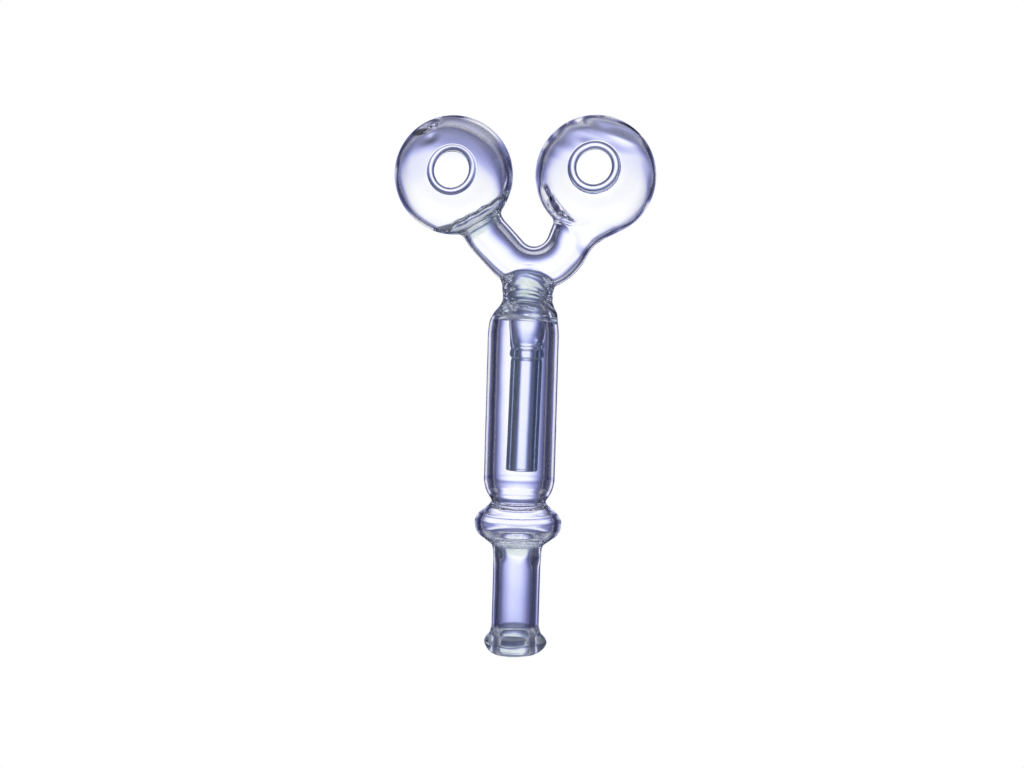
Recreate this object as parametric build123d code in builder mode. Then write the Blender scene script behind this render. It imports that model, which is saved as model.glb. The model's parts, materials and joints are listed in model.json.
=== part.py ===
"""A hand-blown double-bulb inline water pipe in clear glass, as an assembly of its fused pieces.

The pipe lies on a table as it is put down: both bulbs and the ring bulge touch the table, the
mouthpiece points to -Y, the bulbs are at +Y and their mouths face up.
Every piece is drawn in the meridian plane, which holds the pipe's axis: its first coordinate is
the distance to the right of the axis and its second is the station along the axis, counted from
the open end of the mouthpiece. All lengths are in millimetres and all angles in degrees.
"""

import os
from math import asin, atan2, cos, degrees, radians, sin, sqrt

from build123d import *

# Bulbs
bulb_radius = 15.2
bulb_wall = 1.4
left_centre = (-18.6, 121.0)
right_centre = (17.0, 121.8)

# Bulb mouths: inner radius, radius of the fire-polished bead, lean to the right and lean forwards
left_mouth = (4.6, 0.85, 0.0, 0.0)
right_mouth = (4.4, 1.05, -3.3, 2.2)

# Fork: one tube bent into a U, with a bulb on each end
fork_radius = 5.5
fork_wall = 1.4
fork_corner = (5.5, 90.5)
fork_bend_radius = 9.1
left_elbow = (-10.1, 106.9)
left_elbow_radius = 9.0
left_seal_fillet = 0.9
right_seal_fillet = 4.6

# Neck, which carries the fork a little to the right of the pipe's axis
neck_offset = 0.8
neck_bore_radius = 3.9
neck_radius = 6.3
neck_waist_radius = 6.1
neck_end_radius = 6.4
saddle_radius = 6.6
saddle_tip_radius = 5.7

# Chamber
chamber_radius = 9.0
chamber_wall = 2.4
chamber_bottom_radius = 8.2
chamber_top_radius = 8.45
shoulder_mid_radius = 7.95
shoulder_top_radius = 7.1
shoulder_recess = 1.0

# Tube inside the chamber, hung from the neck and leaning to the left
downtube_radius = 4.0
downtube_wall = 2.2
funnel_radius = 4.9
downtube_seal_radius = 4.35
downtube_seal_swell = 0.1
downtube_lean_left = 0.9
funnel_length = 8.8
downtube_seal_length = 2.5
downtube_length = 28.1

# Waist, ring bulge, mouthpiece and lip
waist_radius = 6.9
waist_bore_radius = 5.0
maria_radius = 11.0
maria_bore_radius = 9.2
maria_top_radius = 7.2
maria_top_bore_radius = 5.3
maria_bottom_radius = 8.3
maria_bottom_bore_radius = 5.6
maria_seal_swell = 0.5
maria_seal_bore_swell = 0.4
mouthpiece_radius = 6.0
mouthpiece_bore_radius = 4.25
lip_radius = 7.95
lip_end_radius = 6.2

# Stations along the pipe's axis
lip_widest = 3.5
lip_shoulder = 5.3
lip_joint = 6.8
mouthpiece_top = 26.5
maria_seal_middle = 28.3
maria_bottom = 29.6
maria_middle = 34.0
maria_top = 38.6
waist_middle = 39.6
chamber_bottom = 41.7
chamber_straight_from = 45.0
chamber_straight_to = 81.0
chamber_top = 85.6
shoulder_middle = 87.1
neck_bottom = 88.7
neck_waist = 90.2
saddle_bottom = 91.7
saddle_middle = 94.0
saddle_tip = 97.4
fork_axis_station = 98.5

# The pipe rests on its ring bulge and its bulbs, so its axis climbs towards the bulbs
incline = asin((bulb_radius - maria_radius) / (left_centre[1] - maria_middle))
axis_height = bulb_radius - left_centre[1] * sin(incline)
front = -lip_end_radius * sin(incline)
back = right_centre[1] * cos(incline) + bulb_radius
side_shift = -(left_centre[0] + right_centre[0]) / 2

meridian = Plane(
    origin=(side_shift, -(front + back) / 2, axis_height),
    x_dir=(1, 0, 0),
    z_dir=(0, -sin(incline), cos(incline)),
)
pipe_axis = Axis(meridian.origin, meridian.y_dir)
neck_plane = Plane(
    origin=meridian.from_local_coords((neck_offset, 0, 0)),
    x_dir=meridian.x_dir,
    z_dir=meridian.z_dir,
)
neck_axis = Axis(neck_plane.origin, neck_plane.y_dir)

os.makedirs("parts", exist_ok=True)


def save(piece, node):
    """Label a finished piece and write it as its own node."""
    piece.part.label = node
    export_step(piece.part, f"parts/{node}.step")


def save_arc_ring(node, outer, inner):
    """A turned ring whose outside and inside are one arc each, from its lower end to its upper end."""
    with BuildPart() as ring:
        with BuildSketch(meridian):
            with BuildLine():
                ThreePointArc(*outer)
                Line(outer[-1], inner[-1])
                ThreePointArc(*inner)
                Line(inner[0], outer[0])
            make_face()
        revolve(axis=pipe_axis)
    save(ring, node)


# Mouthpiece lip: the end of the tube, thickened and rolled outwards to a rounded bead
with BuildPart() as mouthpiece_lip:
    with BuildSketch(meridian):
        with BuildLine():
            Line((mouthpiece_bore_radius, lip_joint), (mouthpiece_bore_radius, lip_widest))
            EllipticalCenterArc(
                (lip_end_radius, lip_widest),
                lip_end_radius - mouthpiece_bore_radius,
                lip_widest,
                start_angle=180,
                arc_size=90,
            )
            EllipticalCenterArc(
                (lip_end_radius, lip_widest),
                lip_radius - lip_end_radius,
                lip_widest,
                start_angle=270,
                arc_size=90,
            )
            Spline(
                (lip_radius, lip_widest),
                (mouthpiece_radius + (lip_radius - mouthpiece_radius) / 3, lip_shoulder),
                (mouthpiece_radius, lip_joint),
                tangents=((0, 1), (0, 1)),
            )
            Line((mouthpiece_radius, lip_joint), (mouthpiece_bore_radius, lip_joint))
        make_face()
    revolve(axis=pipe_axis)
save(mouthpiece_lip, "mouthpiece_lip")

# Mouthpiece tube
with BuildPart() as mouthpiece_tube:
    with BuildSketch(meridian):
        with Locations(((mouthpiece_radius + mouthpiece_bore_radius) / 2, (lip_joint + mouthpiece_top) / 2)):
            Rectangle(mouthpiece_radius - mouthpiece_bore_radius, mouthpiece_top - lip_joint)
    revolve(axis=pipe_axis)
save(mouthpiece_tube, "mouthpiece_tube")

# Weld between the mouthpiece tube and the ring bulge
save_arc_ring(
    "maria_seal",
    outer=(
        (mouthpiece_radius, mouthpiece_top),
        (mouthpiece_radius + maria_seal_swell, maria_seal_middle),
        (maria_bottom_radius, maria_bottom),
    ),
    inner=(
        (mouthpiece_bore_radius, mouthpiece_top),
        (mouthpiece_bore_radius + maria_seal_bore_swell, maria_seal_middle),
        (maria_bottom_bore_radius, maria_bottom),
    ),
)

# Ring bulge
save_arc_ring(
    "maria_ring",
    outer=(
        (maria_bottom_radius, maria_bottom),
        (maria_radius, maria_middle),
        (maria_top_radius, maria_top),
    ),
    inner=(
        (maria_bottom_bore_radius, maria_bottom),
        (maria_bore_radius, maria_middle),
        (maria_top_bore_radius, maria_top),
    ),
)

# Weld at the waist, between the ring bulge and the chamber
save_arc_ring(
    "waist_seal",
    outer=(
        (maria_top_radius, maria_top),
        (waist_radius, waist_middle),
        (chamber_bottom_radius, chamber_bottom),
    ),
    inner=(
        (maria_top_bore_radius, maria_top),
        (waist_bore_radius, waist_middle),
        (chamber_bottom_radius - chamber_wall, chamber_bottom),
    ),
)

# Chamber: a wide tube drawn in at both ends
with BuildPart() as chamber_tube:
    with BuildSketch(meridian):
        for wall, mode in ((0, Mode.ADD), (chamber_wall, Mode.SUBTRACT)):
            with BuildLine():
                Line((0, chamber_bottom), (chamber_bottom_radius - wall, chamber_bottom))
                TangentArc(
                    (chamber_radius - wall, chamber_straight_from),
                    (chamber_bottom_radius - wall, chamber_bottom),
                    tangent=(0, -1),
                )
                Line(
                    (chamber_radius - wall, chamber_straight_from),
                    (chamber_radius - wall, chamber_straight_to),
                )
                TangentArc(
                    (chamber_radius - wall, chamber_straight_to),
                    (chamber_top_radius - wall, chamber_top),
                    tangent=(0, 1),
                )
                Line((chamber_top_radius - wall, chamber_top), (0, chamber_top))
                Line((0, chamber_top), (0, chamber_bottom))
            make_face(mode=mode)
    revolve(axis=pipe_axis)
save(chamber_tube, "chamber_tube")

# Shoulder: the ring weld that closes the chamber round the neck and carries the inner tube
with BuildPart() as shoulder_seal:
    with BuildSketch(meridian):
        with BuildLine():
            Line((0, chamber_top + shoulder_recess), (funnel_radius + neck_offset, chamber_top + shoulder_recess))
            TangentArc(
                (funnel_radius + neck_offset, chamber_top + shoulder_recess),
                (chamber_top_radius - chamber_wall, chamber_top),
                tangent=(1, 0),
            )
            Line((chamber_top_radius - chamber_wall, chamber_top), (chamber_top_radius, chamber_top))
            ThreePointArc(
                (chamber_top_radius, chamber_top),
                (shoulder_mid_radius, shoulder_middle),
                (shoulder_top_radius, neck_bottom),
            )
            Line((shoulder_top_radius, neck_bottom), (0, neck_bottom))
            Line((0, neck_bottom), (0, chamber_top + shoulder_recess))
        make_face()
    revolve(axis=pipe_axis)
    with BuildSketch(Plane(neck_axis.position + neck_axis.direction * chamber_top, z_dir=neck_axis.direction)):
        Circle(neck_bore_radius)
    extrude(amount=neck_bottom - chamber_top, mode=Mode.SUBTRACT)
save(shoulder_seal, "shoulder_seal")

# Neck: a short rippled tube
with BuildPart() as neck_collar:
    with BuildSketch(neck_plane):
        with BuildLine():
            Line((neck_bore_radius, neck_bottom), (neck_waist_radius, neck_bottom))
            ThreePointArc(
                (neck_waist_radius, neck_bottom),
                (neck_radius, (neck_bottom + neck_waist) / 2),
                (neck_waist_radius, neck_waist),
            )
            ThreePointArc(
                (neck_waist_radius, neck_waist),
                (neck_end_radius, (neck_waist + saddle_bottom) / 2),
                (neck_radius, saddle_bottom),
            )
            Line((neck_radius, saddle_bottom), (neck_bore_radius, saddle_bottom))
            Line((neck_bore_radius, saddle_bottom), (neck_bore_radius, neck_bottom))
        make_face()
    revolve(axis=neck_axis)
save(neck_collar, "neck_collar")


def point_toward(start, end, distance):
    """The point of the meridian plane at the given distance from start on the way to end."""
    direction = (Vector(end) - Vector(start)).normalized()
    point = Vector(start) + direction * distance
    return (point.X, point.Y)


def seal_reach(fillet):
    """Distance from a bulb's centre to the end of its weld, for the weld's fillet radius."""
    return sqrt((bulb_radius + fillet) ** 2 - (fork_radius + fillet) ** 2)


# The fork's centre line runs from the end of one bulb weld to the end of the other
left_arm_end = point_toward(left_centre, left_elbow, seal_reach(left_seal_fillet))
right_arm_end = point_toward(right_centre, fork_corner, seal_reach(right_seal_fillet))

with BuildLine(meridian) as fork_path:
    FilletPolyline(
        left_arm_end,
        left_elbow,
        fork_corner,
        right_arm_end,
        radius=(left_elbow_radius, fork_bend_radius),
    )
fork_line = fork_path.wire()
fork_section = Plane(origin=fork_line @ 0, z_dir=fork_line % 0)

# Fork tube, open at both ends and holed underneath where the neck joins
with BuildPart() as fork_tube:
    with BuildSketch(fork_section):
        Circle(fork_radius)
    sweep(path=fork_line)
    with BuildSketch(fork_section):
        Circle(fork_radius - fork_wall)
    sweep(path=fork_line, mode=Mode.SUBTRACT)
    with BuildSketch(Plane(neck_axis.position + neck_axis.direction * saddle_bottom, z_dir=neck_axis.direction)):
        Circle(neck_bore_radius)
    extrude(amount=fork_axis_station - saddle_bottom, mode=Mode.SUBTRACT)
save(fork_tube, "fork_tube")

# Saddle weld, which wraps the neck's end round the underside of the fork tube
with BuildPart() as saddle_seal:
    with BuildSketch(neck_plane):
        with BuildLine():
            Line((neck_bore_radius, saddle_bottom), (neck_radius, saddle_bottom))
            ThreePointArc(
                (neck_radius, saddle_bottom),
                (saddle_radius, saddle_middle),
                (saddle_tip_radius, saddle_tip),
            )
            Line((saddle_tip_radius, saddle_tip), (neck_bore_radius, saddle_tip))
            Line((neck_bore_radius, saddle_tip), (neck_bore_radius, saddle_bottom))
        make_face()
    revolve(axis=neck_axis)
    with BuildSketch(fork_section):
        Circle(fork_radius)
    sweep(path=fork_line, mode=Mode.SUBTRACT)
save(saddle_seal, "saddle_seal")

# Tube inside the chamber: funnel, weld and straight tube on one leaning axis, which starts at the
# underside of the shoulder and runs towards the mouthpiece
hang_lean = Vector(-sin(radians(downtube_lean_left)), -cos(radians(downtube_lean_left)), 0)
hang_origin = meridian.from_local_coords((neck_offset, chamber_top + shoulder_recess, 0))
hang_direction = (meridian.from_local_coords(hang_lean) - meridian.origin).normalized()
hang_plane = Plane(origin=hang_origin, x_dir=hang_direction, z_dir=meridian.z_dir)
hang_axis = Axis(hang_plane.origin, hang_plane.x_dir)

with BuildPart() as downtube_funnel:
    with BuildSketch(hang_plane):
        with BuildLine():
            Line((0, neck_bore_radius), (0, funnel_radius))
            Spline(
                (0, funnel_radius),
                (funnel_length, downtube_seal_radius),
                tangents=((1, 0), (1, 0)),
            )
            Line((funnel_length, downtube_seal_radius), (funnel_length, downtube_radius - downtube_wall))
            Spline(
                (funnel_length, downtube_radius - downtube_wall),
                (0, neck_bore_radius),
                tangents=((-1, 0), (-1, 0)),
            )
        make_face()
    revolve(axis=hang_axis)
    # The leaning top is levelled against the flat underside of the shoulder
    split(bisect_by=Plane(hang_origin, z_dir=meridian.y_dir), keep=Keep.BOTTOM)
save(downtube_funnel, "downtube_funnel")

seal_end = funnel_length + downtube_seal_length
with BuildPart() as downtube_seal:
    with BuildSketch(hang_plane):
        with BuildLine():
            Line((funnel_length, downtube_radius - downtube_wall), (funnel_length, downtube_seal_radius))
            ThreePointArc(
                (funnel_length, downtube_seal_radius),
                (funnel_length + downtube_seal_length / 2, downtube_seal_radius + downtube_seal_swell),
                (seal_end, downtube_radius),
            )
            Line((seal_end, downtube_radius), (seal_end, downtube_radius - downtube_wall))
            Line(
                (seal_end, downtube_radius - downtube_wall),
                (funnel_length, downtube_radius - downtube_wall),
            )
        make_face()
    revolve(axis=hang_axis)
save(downtube_seal, "downtube_seal")

with BuildPart() as down_tube:
    with BuildSketch(hang_plane):
        with Locations((seal_end + downtube_length / 2, downtube_radius - downtube_wall / 2)):
            Rectangle(downtube_length, downtube_wall)
    revolve(axis=hang_axis)
    fillet(down_tube.edges().filter_by(GeomType.CIRCLE).sort_by(hang_axis)[-2:], downtube_wall / 3)
save(down_tube, "down_tube")

# Bulbs, with the weld to the fork and the bead round the mouth
for side, centre, arm_end, weld_fillet, mouth in (
    ("left", left_centre, left_arm_end, left_seal_fillet, left_mouth),
    ("right", right_centre, right_arm_end, right_seal_fillet, right_mouth),
):
    bulb_centre = meridian.from_local_coords((*centre, 0))
    arm_direction = meridian.from_local_coords((*arm_end, 0)) - bulb_centre
    arm_plane = Plane(origin=bulb_centre, x_dir=arm_direction, z_dir=meridian.z_dir)
    arm_axis = Axis(arm_plane.origin, arm_plane.x_dir)
    reach = seal_reach(weld_fillet)
    weld_angle = degrees(atan2(fork_radius + weld_fillet, reach))

    mouth_radius, bead_radius, lean_right, lean_forward = mouth
    bead_circle = mouth_radius + bead_radius
    bead_height = sqrt((bulb_radius - bulb_wall / 2) ** 2 - bead_circle**2)
    mouth_direction = Vector(sin(radians(lean_right)), sin(radians(lean_forward)), 1).normalized()
    mouth_plane = Plane(origin=bulb_centre, z_dir=mouth_direction)
    mouth_axis = Axis(mouth_plane.origin, mouth_plane.z_dir)
    bead_section = Plane(origin=bulb_centre, x_dir=mouth_plane.x_dir, z_dir=-mouth_plane.y_dir)

    # The bulb is a thin sphere, open where the weld starts and at its mouth
    with BuildPart() as bulb:
        with BuildSketch(arm_plane):
            with BuildLine():
                CenterArc((0, 0), bulb_radius, weld_angle, 180 - weld_angle)
                Line((-bulb_radius, 0), (bulb_wall - bulb_radius, 0))
                CenterArc((0, 0), bulb_radius - bulb_wall, weld_angle, 180 - weld_angle)
                PolarLine(
                    ((bulb_radius - bulb_wall) * cos(radians(weld_angle)),
                     (bulb_radius - bulb_wall) * sin(radians(weld_angle))),
                    bulb_wall,
                    weld_angle,
                )
            make_face()
        revolve(axis=arm_axis)
        with BuildSketch(mouth_plane):
            Circle(bead_circle)
        extrude(amount=2 * bulb_radius, mode=Mode.SUBTRACT)
        with BuildSketch(bead_section):
            with Locations((bead_circle, bead_height)):
                Circle(bead_radius)
        revolve(axis=mouth_axis, mode=Mode.SUBTRACT)
    save(bulb, f"{side}_bulb")

    with BuildPart() as mouth_rim:
        with BuildSketch(bead_section):
            with Locations((bead_circle, bead_height)):
                Circle(bead_radius)
        revolve(axis=mouth_axis)
    save(mouth_rim, f"{side}_mouth_rim")

    # The weld carries the bulb's wall in a concave curve down to the fork tube's wall
    with BuildPart() as bulb_seal:
        with BuildSketch(arm_plane):
            weld_centre = (reach, fork_radius + weld_fillet)
            with BuildLine():
                near = CenterArc(weld_centre, weld_fillet, 180 + weld_angle, 90 - weld_angle)
                far = CenterArc(weld_centre, weld_fillet + bulb_wall, 180 + weld_angle, 90 - weld_angle)
                Line(near @ 0, far @ 0)
                Line(near @ 1, far @ 1)
            make_face()
        revolve(axis=arm_axis)
    save(bulb_seal, f"{side}_bulb_seal")
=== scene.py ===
"""Looks of a hand-blown double-bulb inline water pipe in clear glass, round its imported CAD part.

The glass is one skin, drawn as an implicit surface: an outside (turned tube, bent fork, bulbs) less
its voids (bores, bulb cavities, mouths), with the weld ripples, drips and uneven walls of hand work.
The skin is cut into one open piece for each CAD node, so no cap shows where two pieces are fused.

Pipe coordinates, in millimetres: x to the right of the pipe's axis, s along the axis from the open
end of the mouthpiece, w up out of the plane that holds the axis and the fork.
"""

import json
from math import cos, radians, sin, tan

import bpy
import numpy as np
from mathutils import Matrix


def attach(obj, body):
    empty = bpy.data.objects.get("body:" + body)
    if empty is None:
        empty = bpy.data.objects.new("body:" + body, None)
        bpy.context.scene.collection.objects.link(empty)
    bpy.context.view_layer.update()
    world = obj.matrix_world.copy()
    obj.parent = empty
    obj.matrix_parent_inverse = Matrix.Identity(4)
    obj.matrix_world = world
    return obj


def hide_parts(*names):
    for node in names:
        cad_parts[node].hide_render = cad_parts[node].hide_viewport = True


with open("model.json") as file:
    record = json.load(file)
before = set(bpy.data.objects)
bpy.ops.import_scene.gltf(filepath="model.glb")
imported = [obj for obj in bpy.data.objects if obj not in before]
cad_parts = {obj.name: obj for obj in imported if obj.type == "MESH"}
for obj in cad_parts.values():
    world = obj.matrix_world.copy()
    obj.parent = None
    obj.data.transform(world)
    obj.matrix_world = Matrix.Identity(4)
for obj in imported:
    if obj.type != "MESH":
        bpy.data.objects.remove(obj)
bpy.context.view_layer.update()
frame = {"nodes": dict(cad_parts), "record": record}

MM = 0.001

# ---------------------------------------------------------------- the pipe's own axes
mount = frame["record"]["mounts"][0]
ALONG = -np.array(mount["axis"], float)
ALONG /= np.linalg.norm(ALONG)
RIGHT = np.array((1.0, 0.0, 0.0))
UP = np.cross(RIGHT, ALONG)
# The straight bore starts past the flare of the lip
BORE_START = 3.5
BORE_MIDDLE = BORE_START + mount["dims"]["length_mm"] / 2
ORIGIN = np.array(mount["pos_m"], float) / MM - BORE_MIDDLE * ALONG


def to_pipe(points):
    """Row-frame points in metres as pipe coordinates in millimetres."""
    off = np.asarray(points, float) / MM - ORIGIN
    return off @ np.stack((RIGHT, ALONG, UP), axis=1)


def to_row(points):
    """Pipe coordinates in millimetres as row-frame points in metres."""
    return (ORIGIN + points @ np.stack((RIGHT, ALONG, UP))) * MM


def extent(node):
    """Lowest and highest pipe coordinates of a CAD node."""
    local = to_pipe([v.co for v in frame["nodes"][node].data.vertices])
    return local.min(0), local.max(0)


# ---------------------------------------------------------------- sizes taken from the CAD nodes
_, lip_high = extent("mouthpiece_lip")
_, tube_high = extent("mouthpiece_tube")
maria_low, maria_high = extent("maria_ring")
chamber_low, chamber_high = extent("chamber_tube")
collar_low, collar_high = extent("neck_collar")
_, saddle_high = extent("saddle_seal")
left_low, left_high = extent("left_bulb")
_, right_high = extent("right_bulb")

LIP_RADIUS = lip_high[0]
LIP_JOINT = lip_high[1]
TUBE_RADIUS = tube_high[0]
BORE_RADIUS = mount["dims"]["r_mm"]
TUBE_TOP = tube_high[1]
MARIA_RADIUS = maria_high[0]
MARIA_BOTTOM, MARIA_TOP = maria_low[1], maria_high[1]
CHAMBER_RADIUS = chamber_high[0]
CHAMBER_BOTTOM, CHAMBER_TOP = chamber_low[1], chamber_high[1]
NECK_BOTTOM, NECK_TOP = collar_low[1], collar_high[1]
NECK_SHIFT = (collar_low[0] + collar_high[0]) / 2
SADDLE_TIP = saddle_high[1]
BULB_RADIUS = -left_low[2]
LEFT = np.array((left_low[0] + BULB_RADIUS, left_high[1] - BULB_RADIUS, 0.0))
RIGHT_BULB = np.array((right_high[0] - BULB_RADIUS, right_high[1] - BULB_RADIUS, 0.0))

# The left bulb came out a little smaller than the right one
LEFT_TRIM = 0.3

# Walls and bores
CHAMBER_WALL = 2.4
MARIA_WALL = 1.5
FORK_RADIUS = 5.5
FORK_BORE = 4.0
NECK_BORE = 3.9

# Bulb walls: the thinnest wall, how much it swells, the direction it swells in, and how sharply
LEFT_WALL = (0.85 + LEFT_TRIM, 1.2, (0.64, 0.768, 0.0), 2.4)
RIGHT_WALL = (0.8, 0.6, (-0.8, 0.6, 0.0), 2.0)

# The ring of weld glass inside the left bulb: its distance from the bulb's centre, how far it
# arches, how deep it sits, and its thickness
WELD_REACH = 10.2
WELD_ARCH = 4.0
WELD_DEPTH = 0.9
WELD_THICK = 0.7

# Slow unevenness of the blown and drawn surfaces, and the pitches of the neck's wound-on glass
WAVE_SIZE = 0.006
OUTER_RIPPLE_PITCH = 2.6
INNER_RIPPLE_PITCH = 3.4

# Fork centre line, in (x, s)
FORK_CORNER = (5.5, 90.5)
FORK_BEND = 9.1
LEFT_ELBOW = (-10.1, 106.9)
LEFT_ELBOW_BEND = 9.0

# Inner tube: it hangs from the shoulder and leans to the left; its stations run down from HANG
HANG = np.array((NECK_SHIFT + 0.4, CHAMBER_TOP + 1.0, 0.0))
HANG_LEAN = radians(0.9)
DROP = np.array((-sin(HANG_LEAN), -cos(HANG_LEAN), 0.0))
FUNNEL_END = 8.8
FUNNEL_SEAL_END = 11.3
DROP_END = 39.4
INNER_TUBE_RADIUS = 4.0
INNER_TUBE_BORE = 2.2


# ---------------------------------------------------------------- smooth solids
def smin(a, b, k):
    """Union of two fields, with a fillet of about k."""
    h = np.clip(0.5 + 0.5 * (b - a) / k, 0.0, 1.0)
    return b * (1 - h) + a * h - k * h * (1 - h)


def smax(a, b, k):
    """Intersection of two fields, with a fillet of about k."""
    return -smin(-a, -b, k)


def ramp(x, low, high):
    """0 below low, 1 above high, eased between them."""
    t = np.clip((x - low) / (high - low), 0.0, 1.0)
    return t * t * (3 - 2 * t)


def bump(x, centre, width):
    """1 at the centre, falling to 0 on both sides of it."""
    return np.exp(-(((x - centre) / width) ** 2))


def curve(points):
    """A monotone cubic through (position, value) points, as a function."""
    t, v = np.array(points, float).T
    step = np.diff(t)
    rise = np.diff(v) / step
    slope = np.zeros(len(t))
    slope[0], slope[-1] = rise[0], rise[-1]
    same = rise[:-1] * rise[1:] > 0
    a, b = 2 * step[1:] + step[:-1], step[1:] + 2 * step[:-1]
    with np.errstate(divide="ignore", invalid="ignore"):
        mean = (a + b) / (a / rise[:-1] + b / rise[1:])
    slope[1:-1] = np.where(same, mean, 0.0)

    def at(x):
        x = np.clip(x, t[0], t[-1])
        i = np.clip(np.searchsorted(t, x) - 1, 0, len(step) - 1)
        h = step[i]
        u = (x - t[i]) / h
        return (
            v[i] * (1 + 2 * u) * (1 - u) ** 2
            + slope[i] * h * u * (1 - u) ** 2
            + v[i + 1] * u * u * (3 - 2 * u)
            + slope[i + 1] * h * u * u * (u - 1)
        )

    return at


def waves(seed, wavelength, count=6):
    """A smooth random field of about unit size, as a function of x, s, w."""
    rng = np.random.default_rng(seed)
    turns = rng.normal(size=(count, 3))
    sizes = (2 * np.pi / wavelength) * rng.uniform(0.7, 1.4, (count, 1))
    turns *= sizes / np.linalg.norm(turns, axis=1)[:, None]
    phases = rng.uniform(0, 2 * np.pi, count)

    def at(x, s, w):
        total = 0.0
        for (a, b, c), phase in zip(turns, phases):
            total = total + np.sin(a * x + b * s + c * w + phase)
        return total / np.sqrt(count)

    return at


def bent_line(corners, bends):
    """A line through corners in (x, s), rounded at each inner corner: its straight and arc pieces."""
    pts = [np.array(p, float) for p in corners]
    pieces, start = [], pts[0]
    for before, corner, after, radius in zip(pts, pts[1:], pts[2:], bends):
        a, b = before - corner, after - corner
        a, b = a / np.linalg.norm(a), b / np.linalg.norm(b)
        half = np.arccos(np.clip(a @ b, -1, 1)) / 2
        reach = radius / np.tan(half)
        bisector = (a + b) / np.linalg.norm(a + b)
        centre = corner + bisector * radius / np.sin(half)
        pieces.append(("line", start, corner + a * reach))
        pieces.append(("arc", centre, -bisector, radius, np.pi / 2 - half))
        start = corner + b * reach
    pieces.append(("line", start, pts[-1]))
    return pieces


def line_field(pieces, x, s):
    """Distance in the (x, s) plane to a bent line."""
    best = None
    for kind, *data in pieces:
        if kind == "line":
            a, b = data
            ab = b - a
            t = np.clip(((x - a[0]) * ab[0] + (s - a[1]) * ab[1]) / (ab @ ab), 0, 1)
            d = np.hypot(x - a[0] - t * ab[0], s - a[1] - t * ab[1])
        else:
            centre, middle, radius, half = data
            dx, ds = x - centre[0], s - centre[1]
            r = np.hypot(dx, ds) + 1e-9
            inside = (dx * middle[0] + ds * middle[1]) / r >= np.cos(half)
            d = np.where(inside, np.abs(r - radius), 1e3)
        best = d if best is None else np.minimum(best, d)
    return best


# ---------------------------------------------------------------- profiles
# Each is a radius by station, in millimetres
lip_radius = curve(
    (
        (-1.0, 4.6),
        (0.2, 5.4),
        (0.9, 6.5),
        (1.9, 7.45),
        (3.2, LIP_RADIUS),
        (4.4, 7.5),
        (5.6, 6.5),
        (LIP_JOINT, 6.05),
        (LIP_JOINT + 2, 4.0),
    )
)
outer_radius = curve(
    (
        (-2, TUBE_RADIUS),
        (TUBE_TOP - 1, TUBE_RADIUS),
        (TUBE_TOP + 1.5, 6.45),
        (MARIA_BOTTOM, 8.3),
        (MARIA_BOTTOM + 1.5, 10.1),
        (MARIA_BOTTOM + 3.0, 10.85),
        (MARIA_BOTTOM + 4.5, MARIA_RADIUS),
        (MARIA_TOP - 3.0, 10.45),
        (MARIA_TOP - 1.5, 9.1),
        (MARIA_TOP, 7.3),
        (MARIA_TOP + 0.8, 6.9),
        (MARIA_TOP + 1.6, 7.3),
        (CHAMBER_BOTTOM, 8.2),
        (CHAMBER_BOTTOM + 1.5, 8.7),
        (CHAMBER_BOTTOM + 3.3, CHAMBER_RADIUS),
        (CHAMBER_TOP - 4.6, CHAMBER_RADIUS),
        (CHAMBER_TOP - 1.5, 8.75),
        (CHAMBER_TOP, 8.45),
        (CHAMBER_TOP + 1.5, 7.9),
        (NECK_BOTTOM, 6.9),
        (NECK_BOTTOM + 1.5, 6.25),
        (NECK_TOP, 6.3),
        (NECK_TOP + 1.5, 6.5),
        (NECK_TOP + 3.3, 6.6),
        (SADDLE_TIP, 5.8),
        (SADDLE_TIP + 2, 4.8),
    )
)
chamber_bore = CHAMBER_RADIUS - CHAMBER_WALL
void_radius = curve(
    (
        (-2, 6.4),
        (0.1, 5.0),
        (1.0, 4.4),
        (2.4, BORE_RADIUS),
        (TUBE_TOP, BORE_RADIUS),
        (MARIA_BOTTOM, 4.5),
        (MARIA_TOP + 0.6, 5.1),
        (CHAMBER_BOTTOM, 5.6),
        (CHAMBER_BOTTOM + 1.8, 6.3),
        (CHAMBER_BOTTOM + 4.0, chamber_bore),
        (CHAMBER_TOP - 4.0, chamber_bore),
        (CHAMBER_TOP - 1.0, 6.3),
        (CHAMBER_TOP + 1.0, 5.6),
    )
)
inner_tube_outside = curve(
    (
        (-1.5, 5.4),
        (0.5, 5.0),
        (3.5, 4.7),
        (6.5, 4.4),
        (FUNNEL_END, 4.3),
        (FUNNEL_END + 1.2, 4.35),
        (FUNNEL_SEAL_END, INNER_TUBE_RADIUS),
        (DROP_END + 2, INNER_TUBE_RADIUS),
    )
)
inner_tube_inside = curve(
    (
        (-3, NECK_BORE),
        (0, NECK_BORE),
        (3.0, 3.6),
        (FUNNEL_END - 0.8, 2.6),
        (FUNNEL_END + 0.6, INNER_TUBE_BORE),
        (FUNNEL_SEAL_END, INNER_TUBE_BORE),
        (DROP_END + 4, INNER_TUBE_BORE),
    )
)
FORK_LINE = bent_line(
    (LEFT[:2], LEFT_ELBOW, FORK_CORNER, RIGHT_BULB[:2]), (LEFT_ELBOW_BEND, FORK_BEND)
)
# The bore runs nearer the outside of the bend, so the glass is thickest in the crotch
BORE_LINE = bent_line(
    (
        LEFT[:2] + (-0.1, -0.2),
        (LEFT_ELBOW[0] - 0.2, LEFT_ELBOW[1] - 0.4),
        (FORK_CORNER[0], FORK_CORNER[1] - 0.7),
        RIGHT_BULB[:2] + (0.3, -0.2),
    ),
    (LEFT_ELBOW_BEND, FORK_BEND + 0.5),
)

gentle = waves(3, 14.0)
ripply = waves(5, 3.4)
folds = waves(13, 6.0)
inner_waves = waves(21, 7.5)

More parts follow.
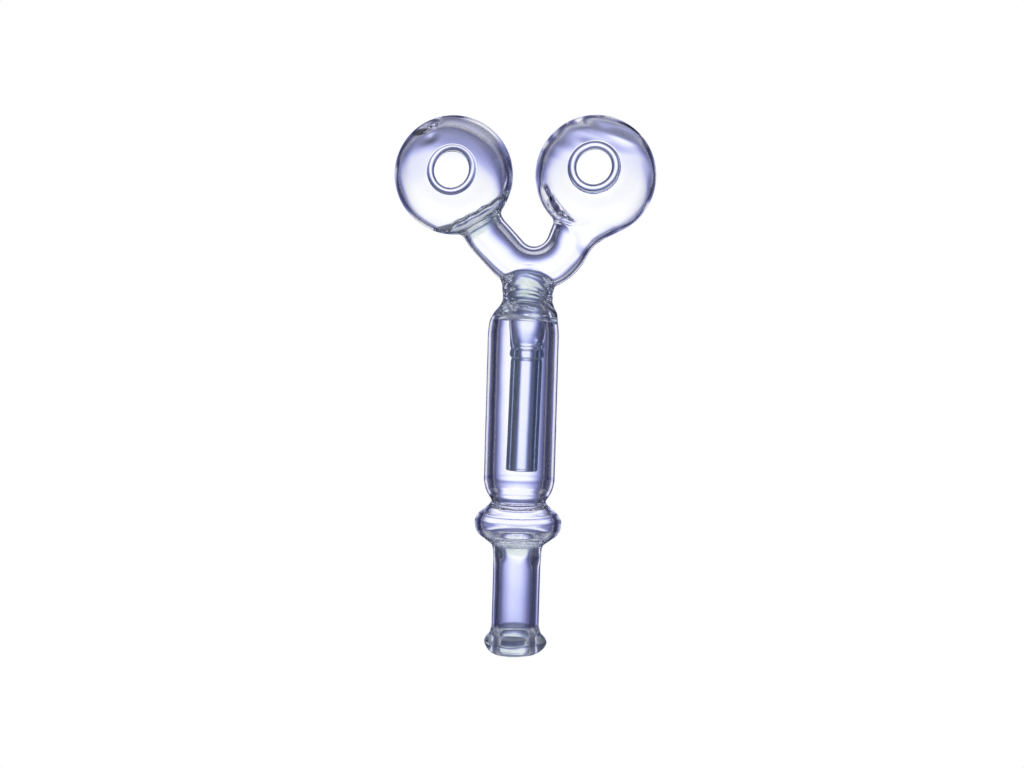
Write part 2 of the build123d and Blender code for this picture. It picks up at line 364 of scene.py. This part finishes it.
# Drips of the seal below the ring bulge: where each lies, (x, s), and how far it stands out
DRIPS = (
    (-4.4, TUBE_TOP - 0.3, 0.4),
    (4.5, TUBE_TOP - 1.0, 0.45),
    (0.5, TUBE_TOP + 0.9, 0.2),
)


# ---------------------------------------------------------------- the outside
def neck_ripples(x, s, w, pitch, turn):
    """Wound-on rings of glass round the neck, arched like the saddle above them."""
    arch = s + 0.06 * (x - NECK_SHIFT) ** 2 + 0.14 * x * np.sign(w) + 0.12 * folds(x, s, w)
    start = ramp(s, NECK_BOTTOM - 2.2, NECK_BOTTOM)
    window = start * (1 - ramp(s, SADDLE_TIP - 0.5, SADDLE_TIP + 1.5))
    return np.sin(2 * np.pi * arch / pitch + turn) * window


def side_axis(s):
    """How far the turned parts' axis lies to the right at a station: the neck is a little aside."""
    return NECK_SHIFT * ramp(s, CHAMBER_TOP - 1.5, NECK_BOTTOM + 1.0)


def leg_side(x, s):
    """How far a point lies to the right of the right leg's centre line."""
    a, b = np.array(FORK_CORNER), RIGHT_BULB[:2]
    d = (b - a) / np.linalg.norm(b - a)
    return (x - a[0]) * d[1] - (s - a[1]) * d[0]


def outside(x, s, w):
    """Below zero inside the pipe's outline, taken as solid."""
    r = np.hypot(x - side_axis(s), w)
    ripple_size = 0.01 + 0.17 * ramp(w, -1.0, 2.0)
    turned = r - outer_radius(s) - ripple_size * neck_ripples(x, s, w, OUTER_RIPPLE_PITCH, 0.6)
    turned = smax(turned, s - (SADDLE_TIP + 1.5), 1.0)
    turned = smax(turned, BORE_START - s, 0.3)
    # the lip, rolled a little out of round with flats where the tool pressed it
    angle = np.arctan2(w, x)
    pressed = 0.14 * np.cos(7 * angle + 0.8) + 0.12 * np.sin(3 * angle + 1.9)
    pressed = pressed - 0.3 * bump(angle, 0.9, 0.3)
    end = 0.15 + 0.2 * np.sin(angle + 0.4)
    rolled = smax(r - lip_radius(s - end) - pressed * bump(s, 2.6, 2.2), end - s, 0.7)
    rolled = smax(rolled, s - LIP_JOINT - 1.2, 0.3)
    turned = smin(turned, rolled, 0.5)
    for cx, cs, size in DRIPS:
        turned = turned - size * bump(x, cx, 1.3) * bump(s, cs, 1.7) * (w > 0)
    fork = np.hypot(line_field(FORK_LINE, x, s), w) - FORK_RADIUS
    left = np.sqrt((x - LEFT[0]) ** 2 + (s - LEFT[1]) ** 2 + w**2)
    left = left - (BULB_RADIUS - LEFT_TRIM)
    right = np.sqrt((x - RIGHT_BULB[0]) ** 2 + (s - RIGHT_BULB[1]) ** 2 + w**2) - BULB_RADIUS
    field = smin(fork, turned, 1.0)
    field = smin(field, left, 1.1)
    field = smin(field, right, 1.0 + 5.0 * ramp(leg_side(x, s), -3.0, 4.0))
    return field + WAVE_SIZE * gentle(x, s, w)


# ---------------------------------------------------------------- the voids
def blown_void(x, s, w, centre, thin, swell, lean, power):
    """A bulb's cavity, its wall grown from thin by swell towards lean, and the way from its centre."""
    dx, ds = x - centre[0], s - centre[1]
    r = np.sqrt(dx**2 + ds**2 + w**2) + 1e-6
    toward = (dx * lean[0] + ds * lean[1] + w * lean[2]) / r
    wall = thin + swell * (0.5 + 0.5 * toward) ** power
    return r - (BULB_RADIUS - wall), dx / r, ds / r


def weld_ring(x, s, w, centre, toward, reach, thick, arch):
    """A raised ring of weld glass inside a bulb, where the fork's end is let in."""
    dx, ds = x - centre[0], s - centre[1]
    along = dx * toward[0] + ds * toward[1] - arch * (w / BULB_RADIUS) ** 2
    shell = np.sqrt(dx**2 + ds**2 + w**2) - (BULB_RADIUS - WELD_DEPTH)
    return np.hypot(along - reach, shell) - thick


LEFT_ARM = np.array(LEFT_ELBOW) - LEFT[:2]
LEFT_ARM /= np.linalg.norm(LEFT_ARM)
RIGHT_ARM = np.array(FORK_CORNER) - RIGHT_BULB[:2]
RIGHT_ARM /= np.linalg.norm(RIGHT_ARM)


def voids(x, s, w):
    """Below zero in the passages: bores, chamber, bulb cavities and mouths."""
    r = np.hypot(x - side_axis(s) + 0.1, w)
    turned = r - void_radius(s) + WAVE_SIZE * inner_waves(x, s, w)
    turned = smax(turned, s - (CHAMBER_TOP + 0.6), 1.6)
    # the ring bulge is blown, so its inside follows its outside
    lean = (outer_radius(s + 0.1) - outer_radius(s - 0.1)) / 0.2
    pocket = (r - outer_radius(s)) / np.sqrt(1 + lean**2) + MARIA_WALL
    middle, half = (MARIA_BOTTOM + MARIA_TOP) / 2, (MARIA_TOP - MARIA_BOTTOM) / 2
    turned = smin(turned, smax(pocket, np.abs(s - middle) - half - 0.3, 0.6), 0.8)
    neck = np.hypot(x - NECK_SHIFT, w) - NECK_BORE
    neck = neck + 0.04 * neck_ripples(x, s, w, INNER_RIPPLE_PITCH, 2.2)
    neck = smax(neck, CHAMBER_TOP - 1.0 - s, 0.2)
    neck = smax(neck, s - (SADDLE_TIP + 1), 0.5)
    fork = np.hypot(line_field(BORE_LINE, x, s), w) - FORK_BORE + 0.05 * inner_waves(x, s, w)
    left, lx, ls = blown_void(x, s, w, LEFT, *LEFT_WALL)
    left = left + 0.025 * inner_waves(x, s, w)
    # a fold in the wall at the upper left
    left = left + 0.6 * bump(np.hypot(lx, ls), 0.93, 0.07) * bump(np.arctan2(ls, lx), 2.12, 0.17)
    thick = WELD_THICK + 0.15 * ripply(x, s, w)
    ring = weld_ring(x, s, w, LEFT, LEFT_ARM, WELD_REACH, thick, WELD_ARCH)
    left = smax(left, -ring, 0.5)
    right, rx, rs = blown_void(x, s, w, RIGHT_BULB, *RIGHT_WALL)
    # level swooshes in the wall's upper half
    slant = 0.20 * (s - RIGHT_BULB[1]) + 0.07 * (x - RIGHT_BULB[0])
    swoosh = np.sin(2 * np.pi * slant + 0.9 * gentle(x, s, w))
    right = right + 0.06 * swoosh * ramp(rs, 0.3, 0.8) + 0.02 * inner_waves(x, s, w)
    # a folded seam at the lower left, its angle taken from the left so that it doesn't wrap
    seam = bump(np.hypot(rx, rs), 0.92, 0.06) * bump(np.arctan2(rs, -rx), -0.72, 0.36)
    right = right + 0.5 * seam * (1 + 0.4 * ripply(x, s, w))
    field = smin(left, fork, 0.9)
    field = smin(field, right, 2.2 + 4.0 * ramp(leg_side(x, s), -5.0, 6.0))
    field = smin(field, neck, 0.8)
    field = smin(field, turned, 0.2)
    for mouth in MOUTHS:
        field = smin(field, mouth_hole(x, s, w, mouth), 0.3)
    return field


# ---------------------------------------------------------------- mouths, lip, inner tube
def mouth_of(node, bead, trim, shift, lean_right, lean_forward, stretch, stretch_turn):
    """The mouth whose bead is a CAD node, trimmed and shifted.

    Its centre, its axis and two directions across it, the radius of the bead's circle, the bead's
    own radius, and how far and which way it is out of round.
    """
    low, high = extent(node)
    axis = np.array((tan(radians(lean_right)), tan(radians(lean_forward)), 1.0))
    axis /= np.linalg.norm(axis)
    spread = (high[0] - low[0]) / 2 - bead - trim
    centre = (low + high) / 2 + np.array((*shift, 0.0))
    first = np.cross((0.0, 1.0, 0.0), axis)
    first /= np.linalg.norm(first)
    return centre, axis, first, np.cross(axis, first), spread, bead, stretch, radians(stretch_turn)


MOUTHS = (
    mouth_of("left_mouth_rim", 0.8, 0.4, (-0.1, -0.3), 0.0, 0.0, 0.15, 60.0),
    mouth_of("right_mouth_rim", 1.0, 0.25, (-0.3, 0.0), -3.3, 2.2, 0.12, 35.0),
)


def round_mouth(x, s, w, mouth):
    """Distance from the mouth's axis, out of round by the mouth's stretch, and height on it."""
    centre, axis, first, second, _, _, stretch, turn = mouth
    dx, ds, dw = x - centre[0], s - centre[1], w - centre[2]
    a = dx * first[0] + ds * first[1] + dw * first[2]
    b = dx * second[0] + ds * second[1] + dw * second[2]
    height = dx * axis[0] + ds * axis[1] + dw * axis[2]
    angle = np.arctan2(b, a)
    return np.hypot(a, b) - stretch * np.cos(2 * (angle - turn)), height


def mouth_hole(x, s, w, mouth):
    """The opening through the bulb's wall inside a mouth's bead."""
    r, height = round_mouth(x, s, w, mouth)
    spread, bead = mouth[4:6]
    return smax(r - (spread - bead * 0.75), -height - 6.0, 0.5)


def mouth_bead(x, s, w, mouth):
    """The fire-polished bead round a mouth."""
    r, height = round_mouth(x, s, w, mouth)
    spread, bead = mouth[4:6]
    return np.hypot(r - spread, height) - bead


def inner_tube(x, s, w):
    """The inner tube's glass, the distance from its axis, and the station on it."""
    dx, ds, dw = x - HANG[0], s - HANG[1], w - HANG[2]
    t = dx * DROP[0] + ds * DROP[1] + dw * DROP[2]
    r = np.sqrt(np.maximum(dx**2 + ds**2 + dw**2 - t**2, 0))
    wobble = 0.05 * inner_waves(x, s, w) * (1 - ramp(t, FUNNEL_END, FUNNEL_SEAL_END))
    creases = 0.25 * (bump(t, FUNNEL_END - 0.1, 0.35) + bump(t, FUNNEL_SEAL_END - 0.2, 0.3))
    solid = smax(r - inner_tube_outside(t) - wobble + creases, t - DROP_END, 0.4)
    solid = smax(solid, -1.2 - t, 0.2)
    # a dent where the funnel was drawn down, on the side that faces up
    dent = 0.35 * bump(x, HANG[0] + 2.2, 0.7) * bump(t, 6.8, 0.9) * (w > 0)
    return smax(solid, inner_tube_inside(t) - r + dent, 0.35), r, t


def glass(points):
    """Below zero inside the glass, in millimetres."""
    x, s, w = points[..., 0], points[..., 1], points[..., 2]
    field = smax(outside(x, s, w), -voids(x, s, w), 0.35)
    for mouth in MOUTHS:
        field = smin(field, mouth_bead(x, s, w, mouth), 0.35)
    return smin(field, inner_tube(x, s, w)[0], 0.5)


# ---------------------------------------------------------------- skin of the field
# The grid's step, and how far it reaches past the CAD, in millimetres
CELL = 0.32
MARGIN = 1.2


def slopes(points, reach=0.04):
    """Gradient of the glass field."""
    out = np.empty_like(points)
    for i in range(3):
        step = np.zeros(3)
        step[i] = reach
        out[:, i] = (glass(points + step) - glass(points - step)) / (2 * reach)
    return out


def skin():
    """Vertices, quads and vertex normals of the field's zero surface, by surface nets."""
    everything = to_pipe([v.co for o in frame["nodes"].values() for v in o.data.vertices])
    low, high = everything.min(0) - MARGIN, everything.max(0) + MARGIN
    counts = np.ceil((high - low) / CELL).astype(int) + 1
    axes = [low[i] + CELL * np.arange(counts[i]) for i in range(3)]
    # the field on the grid, one station at a time
    values = np.empty(counts, np.float32)
    for j, s in enumerate(axes[1]):
        grid = np.stack(np.meshgrid(axes[0], [s], axes[2], indexing="ij"), axis=-1)
        values[:, j : j + 1, :] = glass(grid)
    # one point in each cell that the surface crosses: the mean of where it cuts the cell's edges
    inside = values < 0
    cells = counts - 1
    total = np.zeros(cells, np.int8)
    for corner in np.ndindex(2, 2, 2):
        total += inside[tuple(slice(c, c + n) for c, n in zip(corner, cells))]
    crossed = (total > 0) & (total < 8)
    where = np.argwhere(crossed)
    index = np.full(cells, -1, np.int32)
    index[crossed] = np.arange(len(where))
    points = np.zeros((len(where), 3))
    hits = np.zeros(len(where))
    for axis in range(3):
        others = [a for a in range(3) if a != axis]
        for first in (0, 1):
            for second in (0, 1):
                a = where.copy()
                a[:, others[0]] += first
                a[:, others[1]] += second
                b = a.copy()
                b[:, axis] += 1
                va, vb = values[tuple(a.T)], values[tuple(b.T)]
                cut = (va < 0) != (vb < 0)
                t = np.where(cut, va / np.where(cut, va - vb, 1), 0)
                at = a.astype(float)
                at[:, axis] += t
                points[cut] += at[cut]
                hits += cut
    points = low + CELL * points / hits[:, None]
    # a quad round each grid edge that the surface cuts
    quads = []
    for axis in range(3):
        others = [a for a in range(3) if a != axis]
        trimmed = [slice(0, -1) if a == axis else slice(1, -1) for a in range(3)]
        ahead = [slice(1, None) if a == axis else slice(1, -1) for a in range(3)]
        a, b = inside[tuple(trimmed)], inside[tuple(ahead)]
        edges = np.argwhere(a != b)
        flip = a[tuple(edges.T)]
        if axis == 1:
            flip = ~flip
        edges[:, others] += 1
        ring = []
        for p, q in ((0, 0), (1, 0), (1, 1), (0, 1)):
            cell = edges.copy()
            cell[:, others[0]] -= p
            cell[:, others[1]] -= q
            ring.append(index[tuple(cell.T)])
        ring = np.stack(ring, axis=1)
        ring[~flip] = ring[~flip][:, ::-1]
        quads.append(ring)
    quads = np.concatenate(quads)
    # the points are moved onto the surface
    for _ in range(3):
        slope = slopes(points)
        size = np.maximum((slope**2).sum(1), 0.05)
        move = slope * (glass(points) / size)[:, None]
        reach = np.linalg.norm(move, axis=1)[:, None]
        points -= move * np.minimum(1, 0.3 * CELL / np.maximum(reach, 1e-9))
    normals = slopes(points)
    normals /= np.maximum(np.linalg.norm(normals, axis=1), 1e-9)[:, None]
    return points, quads, normals


# ---------------------------------------------------------------- which CAD node a face belongs to
def node_of(points):
    """The name of the CAD node that each point of the skin stands for."""
    x, s, w = points.T
    names = np.full(len(points), "fork_tube", dtype=object)
    stations = (
        (-10.0, "mouthpiece_lip"),
        (LIP_JOINT, "mouthpiece_tube"),
        (TUBE_TOP - 0.8, "maria_seal"),
        (MARIA_BOTTOM + 1.2, "maria_ring"),
        (MARIA_TOP, "waist_seal"),
        (CHAMBER_BOTTOM, "chamber_tube"),
        (CHAMBER_TOP, "shoulder_seal"),
        (NECK_BOTTOM, "neck_collar"),
        (NECK_TOP, "saddle_seal"),
    )
    for station, name in stations:
        names[s >= station] = name
    along_fork = np.hypot(line_field(FORK_LINE, x, s), w)
    past_neck = (s > NECK_TOP + 1.0) & (np.hypot(x - NECK_SHIFT, w) > NECK_BORE)
    names[past_neck & (along_fork < FORK_RADIUS + 0.25)] = "fork_tube"
    names[s > SADDLE_TIP] = "fork_tube"
    for side, centre, arm, seal in (
        ("left", LEFT, LEFT_ARM, 1.5),
        ("right", RIGHT_BULB, RIGHT_ARM, 3.2),
    ):
        dx, ds = x - centre[0], s - centre[1]
        r = np.sqrt(dx**2 + ds**2 + w**2)
        along = dx * arm[0] + ds * arm[1]
        near = (r < BULB_RADIUS + seal) & (s > NECK_TOP + 4)
        names[near & (along > BULB_RADIUS - 4.5)] = f"{side}_bulb_seal"
        blown = near & (along < BULB_RADIUS - 4.5)
        names[blown & (r < BULB_RADIUS + 1.0)] = f"{side}_bulb"
    ring = weld_ring(x, s, w, LEFT, LEFT_ARM, WELD_REACH, WELD_THICK + 0.5, WELD_ARCH)
    names[(ring < 0) & (s > NECK_TOP)] = "left_bulb_seal"
    for mouth, name in zip(MOUTHS, ("left_mouth_rim", "right_mouth_rim")):
        names[mouth_bead(x, s, w, mouth) < 0.35] = name
    _, r, t = inner_tube(x, s, w)
    hung = (r < inner_tube_outside(t) + 0.2) & (t > 0.2) & (t < DROP_END + 1)
    names[hung] = "down_tube"
    names[hung & (t < FUNNEL_SEAL_END)] = "downtube_seal"
    names[hung & (t < FUNNEL_END)] = "downtube_funnel"
    return names


# ---------------------------------------------------------------- materials
class Nodes:
    """A short way to write a node tree."""

    def __init__(self, tree):
        self.tree = tree
        tree.nodes.clear()

    def add(self, kind, inputs=None, **settings):
        node = self.tree.nodes.new(kind)
        for name, value in settings.items():
            setattr(node, name, value)
        for name, value in (inputs or {}).items():
            if isinstance(value, bpy.types.NodeSocket):
                self.tree.links.new(value, node.inputs[name])
            else:
                node.inputs[name].default_value = value
        return node

    def math(self, operation, a, b=0.0, c=0.0):
        return self.add("ShaderNodeMath", {0: a, 1: b, 2: c}, operation=operation).outputs[0]

    def ramp(self, factor, stops, mode="LINEAR"):
        node = self.add("ShaderNodeValToRGB", {0: factor})
        node.color_ramp.interpolation = mode
        elements = node.color_ramp.elements
        elements[0].position, elements[0].color = stops[0][0], (*stops[0][1], 1.0)
        elements[-1].position, elements[-1].color = stops[-1][0], (*stops[-1][1], 1.0)
        for at, colour in stops[1:-1]:
            elements.new(at).color = (*colour, 1.0)
        return node.outputs["Color"]


IOR = 1.47
# Where painted shade darkens the inner tube's flanks, in millimetres from its middle line, and how far
# that painted shade fades above the funnel's joint
FLANK_SHADE_FROM, FLANK_SHADE_TO = 1.3, 2.5
FLANK_SHADE_FADE = 3
FUNNEL_FLANK_SHADE = 0.15


def flank_shade_mask(n, place):
    """Mask of painted shade: 0 along the middle of the inner tube and 1 on its flanks, in the row
    frame.
    """
    top, bottom = to_row(HANG), to_row(HANG + DROP_END * DROP)
    slope = (bottom[0] - top[0]) / (bottom[1] - top[1])
    axes = n.add("ShaderNodeSeparateXYZ", {0: place})
    middle = n.math("MULTIPLY_ADD", axes.outputs[1], slope, top[0] - slope * top[1])
    off = n.math("ABSOLUTE", n.math("SUBTRACT", axes.outputs[0], middle))
    inputs = {"Value": off, "From Min": FLANK_SHADE_FROM * MM, "From Max": FLANK_SHADE_TO * MM}
    flank_shade = n.add("ShaderNodeMapRange", inputs, interpolation_type="SMOOTHSTEP").outputs[0]
    joint = to_row(HANG + FUNNEL_END * DROP)[1]
    inputs = {
        "Value": axes.outputs[1],
        "From Min": joint,
        "From Max": joint + FLANK_SHADE_FADE * MM,
        "To Min": 1.0,
        "To Max": FUNNEL_FLANK_SHADE,
    }
    return n.math("MULTIPLY", flank_shade, n.add("ShaderNodeMapRange", inputs).outputs[0])


def glass_material(
    name, clear, cloudy, cloud_scale, streaks, bump_size, roughness, milk=0.0, flank_shade=None
):
    """Clear glass whose tint and drawn cords come from noise in the pipe's frame.

    The tint goes from clear to cloudy and the roughness between its two values; milk is the share
    of light the glass scatters, and the flank shade is the colour of painted shade on the inner tube's
    sides.
    """
    material = bpy.data.materials.new(name)
    material.use_nodes = True
    n = Nodes(material.node_tree)
    place = n.add("ShaderNodeTexCoord").outputs["Object"]
    inputs = {"Vector": place, "Scale": cloud_scale, "Detail": 4.0, "Roughness": 0.6}
    broad = n.add("ShaderNodeTexNoise", inputs)
    colour = n.ramp(broad.outputs["Fac"], ((0.45, clear), (0.7, cloudy)), "EASE")
    drawn = n.add("ShaderNodeMapping", {"Vector": place, "Scale": (1.0, 0.06, 1.0)})
    cords = n.add("ShaderNodeTexNoise", {"Vector": drawn.outputs[0], "Scale": 420.0, "Detail": 2.0})
    height = n.math("MULTIPLY", cords.outputs["Fac"], streaks)
    bumped = n.add("ShaderNodeBump", {"Height": height, "Strength": bump_size, "Distance": 0.0003})
    dull = n.add("ShaderNodeTexNoise", {"Vector": place, "Scale": 260.0, "Detail": 3.0})
    rough = n.ramp(dull.outputs["Fac"], ((0.45, (roughness[0],) * 3), (0.75, (roughness[1],) * 3)))
    # Painted shade: the inner tube's flanks are darkened in its colour, by where they lie across the
    # tube
    if flank_shade:
        flank_shade_mix = n.add("ShaderNodeMix", data_type="RGBA")
        n.tree.links.new(flank_shade_mask(n, place), flank_shade_mix.inputs[0])
        n.tree.links.new(colour, flank_shade_mix.inputs[6])
        flank_shade_mix.inputs[7].default_value = (*flank_shade, 1.0)
        colour = flank_shade_mix.outputs[2]
    shader = n.add(
        "ShaderNodeBsdfPrincipled",
        {
            "Base Color": colour,
            "Roughness": rough,
            "IOR": IOR,
            "Transmission Weight": 1.0 - milk,
            "Normal": bumped.outputs["Normal"],
        },
    )
    n.add("ShaderNodeOutputMaterial", {"Surface": shader.outputs[0]})
    return material


tube_glass = glass_material(
    "tube_glass",
    (0.985, 0.987, 1.0),
    (0.955, 0.96, 0.995),
    90.0,
    0.5,
    0.012,
    (0.0, 0.012),
)
bulb_glass = glass_material(
    "bulb_glass",
    (0.99, 0.991, 1.0),
    (0.97, 0.975, 1.0),
    60.0,
    0.5,
    0.006,
    (0.0, 0.012),
)
inner_tube_glass = glass_material(
    "inner_tube_glass",
    (0.97, 0.975, 1.0),
    (0.92, 0.94, 0.99),
    120.0,
    0.6,
    0.02,
    (0.06, 0.12),
    # painted shade on the inner tube's flanks
    flank_shade=(0.26, 0.34, 0.47),
)
weld_glass = glass_material(
    "weld_glass",
    (0.95, 0.98, 0.96),
    (0.68, 0.75, 0.72),
    200.0,
    0.5,
    0.03,
    (0.03, 0.16),
    milk=0.07,
)
MATERIALS = {
    "tube_glass": tube_glass,
    "bulb_glass": bulb_glass,
    "inner_tube_glass": inner_tube_glass,
    "weld_glass": weld_glass,
}

# ---------------------------------------------------------------- pieces
points, quads, normals = skin()
placed = to_row(points)
turned_normals = normals @ np.stack((RIGHT, ALONG, UP))
names = node_of(points[quads].mean(1))
slot_of = {part["node"]: part["material_slot"] for part in frame["record"]["subparts"]}

for node in sorted(frame["nodes"]):
    faces = quads[names == node]
    if not len(faces):
        raise SystemExit(f"no part of the skin stands for {node}")
    used, faces = np.unique(faces, return_inverse=True)
    faces = faces.reshape(-1, 4)
    mesh = bpy.data.meshes.new(f"{node}_skin")
    mesh.from_pydata(placed[used].tolist(), [], faces.tolist())
    mesh.validate()
    mesh.polygons.foreach_set("use_smooth", np.ones(len(mesh.polygons), bool))
    mesh.normals_split_custom_set_from_vertices(turned_normals[used].tolist())
    piece = bpy.data.objects.new(f"{node}_skin", mesh)
    bpy.context.scene.collection.objects.link(piece)
    slot = slot_of[node]
    mesh.materials.append(MATERIALS[slot])
    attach(piece, "root")
    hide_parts(node)

# ---------------------------------------------------------------- floor
FLOOR_SIZE = 3.0
FLOOR_DROP = 0.0005


def floor_material():
    """Plain white to the camera, and clear to light that has passed through the glass."""
    material = bpy.data.materials.new("floor_white")
    material.use_nodes = True
    n = Nodes(material.node_tree)
    white = n.add("ShaderNodeEmission", {"Color": (1, 1, 1, 1), "Strength": 1.0})
    clear = n.add("ShaderNodeBsdfTransparent")
    seen = n.add("ShaderNodeLightPath").outputs["Is Camera Ray"]
    mix = n.add("ShaderNodeMixShader", {0: seen, 1: clear.outputs[0], 2: white.outputs[0]})
    n.add("ShaderNodeOutputMaterial", {"Surface": mix.outputs[0]})
    return material


half = FLOOR_SIZE / 2
corners = [(-half, -half), (half, -half), (half, half), (-half, half)]
floor_mesh = bpy.data.meshes.new("floor")
floor_mesh.from_pydata([(x, y, -FLOOR_DROP) for x, y in corners], [], [(0, 1, 2, 3)])
floor = bpy.data.objects.new("floor", floor_mesh)
bpy.context.scene.collection.objects.link(floor)
floor_mesh.materials.append(floor_material())

# ---------------------------------------------------------------- light
# The room by angle from straight down, in degrees, with colours in sRGB: a light box under the
# glass, then dark sides with a pale strip at the height of the table, or pale ends along the
# pipe's length, and a bright overhead.
world = bpy.data.worlds.new("light_box")
world.use_nodes = True
bpy.context.scene.world = world
n = Nodes(world.node_tree)


def linear(r, g, b):
    """Scene-linear colour of an sRGB colour given in 0 to 255."""
    return tuple(((v / 255 + 0.055) / 1.055) ** 2.4 if v > 10 else v / 255 / 12.92 for v in (r, g, b))


# The light box is wider than it is long and lies a little off the middle; the pale ends come in
# as a direction turns from the sides to the pipe's length
BOX_STRETCH = 1.35
BOX_SHIFT = 0.044
PALE_FROM, PALE_TO = 0.25, 0.9
WORLD_STRENGTH = 1.1
direction = n.add("ShaderNodeTexCoord").outputs["Generated"]
parts = n.add("ShaderNodeSeparateXYZ", {0: direction})
sideways, lengthways, upward = (parts.outputs[i] for i in range(3))
shifted = n.math("MULTIPLY_ADD", upward, BOX_SHIFT, lengthways)
stretched = n.math("MULTIPLY", shifted, BOX_STRETCH)
joined = n.add("ShaderNodeCombineXYZ", {0: sideways, 1: stretched, 2: upward})
unit = n.add("ShaderNodeVectorMath", {0: joined.outputs[0]}, operation="NORMALIZE")
height = n.add("ShaderNodeSeparateXYZ", {0: unit.outputs[0]}).outputs["Z"]
nadir = n.math("ARCCOSINE", n.math("MULTIPLY", height, -1.0))
turn = n.math("DIVIDE", nadir, np.pi)

LIGHT_BOX = (
    (0.0, (255, 255, 255)),
    (8.0, (255, 255, 255)),
    (11.0, (236, 239, 255)),
    (14.0, (187, 191, 240)),
    (17.0, (145, 149, 203)),
    (21.0, (104, 107, 150)),
    (25.0, (92, 96, 134)),
    (30.0, (62, 67, 107)),
    (36.0, (34, 36, 60)),
)
OVERHEAD = (
    (122.0, (92, 102, 143)),
    (128.0, (147, 157, 200)),
    (135.0, (185, 194, 242)),
    (145.0, (215, 226, 255)),
    (158.0, (228, 243, 255)),
    (180.0, (170, 176, 204)),
)
DARK_SIDES = (
    (44.0, (46, 47, 72)),
    (76.0, (56, 57, 84)),
    (83.0, (150, 153, 186)),
    (92.0, (150, 153, 186)),
    (100.0, (44, 44, 66)),
    (112.0, (36, 38, 60)),
)
PALE_ENDS = (
    (48.0, (120, 122, 150)),
    (60.0, (205, 208, 226)),
    (100.0, (215, 218, 232)),
    (114.0, (120, 124, 158)),
)


def ring_colours(band):
    """The room's colour by angle, with one of the two bands between light box and overhead."""
    return n.ramp(turn, [(angle / 180, linear(*rgb)) for angle, rgb in LIGHT_BOX + band + OVERHEAD])


endways = n.math("ABSOLUTE", lengthways)
lengthways_squared = n.math("MULTIPLY", lengthways, lengthways)
level = n.math("SQRT", n.math("MULTIPLY_ADD", sideways, sideways, lengthways_squared))
share = n.add(
    "ShaderNodeMapRange",
    {"Value": n.math("DIVIDE", endways, level), "From Min": PALE_FROM, "From Max": PALE_TO},
    interpolation_type="SMOOTHSTEP",
)
sides, ends = (
    n.add("ShaderNodeBackground", {"Color": ring_colours(band), "Strength": WORLD_STRENGTH})
    for band in (DARK_SIDES, PALE_ENDS)
)
glow = n.add("ShaderNodeMixShader", {0: share.outputs[0], 1: sides.outputs[0], 2: ends.outputs[0]})
backdrop = n.add("ShaderNodeBackground", {"Color": (1, 1, 1, 1), "Strength": 1.0})
seen = n.add("ShaderNodeLightPath").outputs["Is Camera Ray"]
either = n.add("ShaderNodeMixShader", {0: seen, 1: glow.outputs[0], 2: backdrop.outputs[0]})
n.add("ShaderNodeOutputWorld", {"Surface": either.outputs[0]})

# ---------------------------------------------------------------- camera
# Straight above a point of the pipe, turned a little; the width is what it sees at that point
CAMERA_HEIGHT = 0.42
CAMERA_LEAN = radians(1.63)
VIEW_WIDTH = 0.2587
SENSOR = 36.0
CAMERA_AT = np.array((-2.52, 68.96, 0.0))
camera_data = bpy.data.cameras.new("camera")
camera_data.sensor_width = SENSOR
camera_data.lens = SENSOR * CAMERA_HEIGHT / VIEW_WIDTH
camera = bpy.data.objects.new("camera", camera_data)
aim = to_row(CAMERA_AT)
camera.location = (aim[0], aim[1], aim[2] + CAMERA_HEIGHT)
camera.rotation_euler = (0.0, 0.0, CAMERA_LEAN)
bpy.context.scene.collection.objects.link(camera)
bpy.context.scene.camera = camera

scene = bpy.context.scene
scene.view_settings.view_transform = "Standard"
scene.cycles.max_bounces = 32
scene.cycles.transmission_bounces = 32
scene.cycles.transparent_max_bounces = 32
scene.cycles.glossy_bounces = 16
